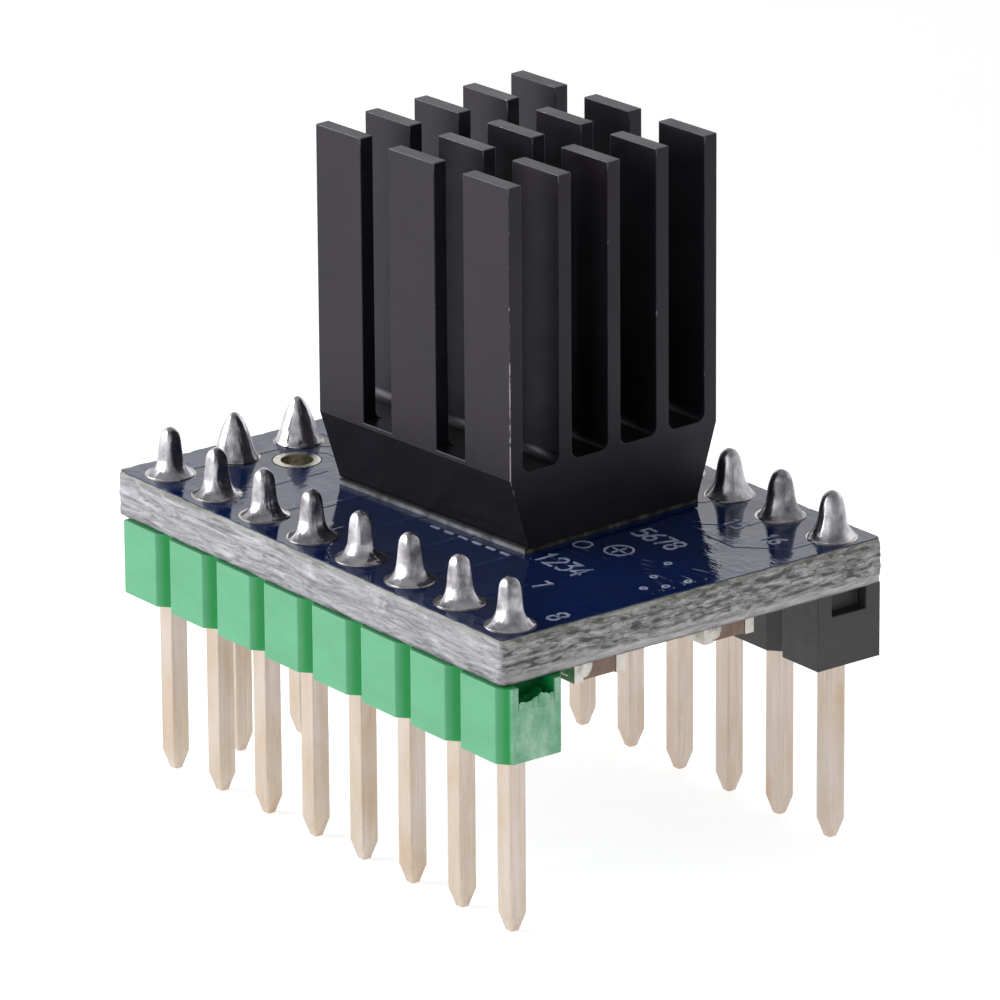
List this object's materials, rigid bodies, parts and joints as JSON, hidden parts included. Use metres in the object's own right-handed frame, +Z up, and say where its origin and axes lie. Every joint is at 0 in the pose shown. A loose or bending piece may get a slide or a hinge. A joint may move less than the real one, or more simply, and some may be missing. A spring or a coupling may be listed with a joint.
{
  "type": "stepper driver module",
  "caption": "Plug-in driver board for a small stepper motor: two long pin rows below, a short auxiliary pin header, and a tall black finned heatsink taped on top.",
  "frame": {"origin": "centre of the pin grid in the plane of the pin tips, which is the middle of the underside of the whole part", "axes": "+X along the pin rows towards the end with the supply capacitors, +Y from the green front row to the black back row, +Z up through the heatsink"},
  "size_m": [0.0205, 0.0152, 0.0222],
  "materials": {
    "laminate": "rough cut glass fibre laminate",
    "solder_mask": "glossy dark blue lacquer",
    "tinned_copper": "bright tinned copper",
    "bare_copper": "copper",
    "green_plastic": "moulded nylon, satin",
    "black_plastic": "moulded nylon, satin",
    "pin_metal": "pale flash-gold plating",
    "solder": "bright solder",
    "adhesive_tape": "soft grey thermal tape",
    "anodised_aluminium": "black anodised, worn edges",
    "chip_epoxy": "moulded epoxy, fine grain",
    "capacitor_ceramic": "fired brown ceramic",
    "resistor_body": "black glaze",
    "tin_ends": "matt tin",
    "trimmer_plastic": "ivory ceramic",
    "resistor_track": "carbon film",
    "trimmer_metal": "nickel-plated brass"
  },
  "bodies": {
    "module": {"board_core": "laminate", "mask_top": "solder_mask", "mask_bottom": "solder_mask", "hole_barrels": "tinned_copper", "probe_eyelet": "tinned_copper", "part_pads": "tinned_copper", "chip_lands": "tinned_copper", "chip_thermal_pad": "tinned_copper", "thermal_vias": "bare_copper", "header_front": "green_plastic", "header_back": "black_plastic", "header_aux": "black_plastic", "pin_front_1": "pin_metal", "pin_front_2": "pin_metal", "pin_front_3": "pin_metal", "pin_front_4": "pin_metal", "pin_front_5": "pin_metal", "pin_front_6": "pin_metal", "pin_front_7": "pin_metal", "pin_front_8": "pin_metal", "pin_back_1": "pin_metal", "pin_back_2": "pin_metal", "pin_back_3": "pin_metal", "pin_back_4": "pin_metal", "pin_back_5": "pin_metal", "pin_back_6": "pin_metal", "pin_back_7": "pin_metal", "pin_back_8": "pin_metal", "pin_aux_1": "pin_metal", "pin_aux_2": "pin_metal", "solder_front": "solder", "solder_back": "solder", "solder_aux": "solder", "thermal_tape": "adhesive_tape", "heatsink": "anodised_aluminium", "driver_chip": "chip_epoxy", "supply_capacitor_1": "capacitor_ceramic", "supply_capacitor_2": "capacitor_ceramic", "pump_capacitor": "capacitor_ceramic", "filter_capacitor": "capacitor_ceramic", "sense_resistor_1": "resistor_body", "sense_resistor_2": "resistor_body", "setting_resistors": "resistor_body", "supply_capacitor_1_ends": "tin_ends", "supply_capacitor_2_ends": "tin_ends", "pump_capacitor_ends": "tin_ends", "filter_capacitor_ends": "tin_ends", "sense_resistor_1_ends": "tin_ends", "sense_resistor_2_ends": "tin_ends", "setting_resistor_ends": "tin_ends", "trimmer_terminals": "tin_ends", "trimmer_base": "trimmer_plastic", "trimmer_track": "resistor_track"},
    "rotor": {"trimmer_rotor": "trimmer_metal", "trimmer_wiper": "trimmer_metal"}
  },
  "joints": [
    {"name": "trimmer_turn", "type": "hinge", "parent": "module", "child": "rotor", "pos_m": [-0.0061, 0.0029, 0.0079], "axis": [0, 0, 1], "range_deg": [-115, 115]}
  ]
}
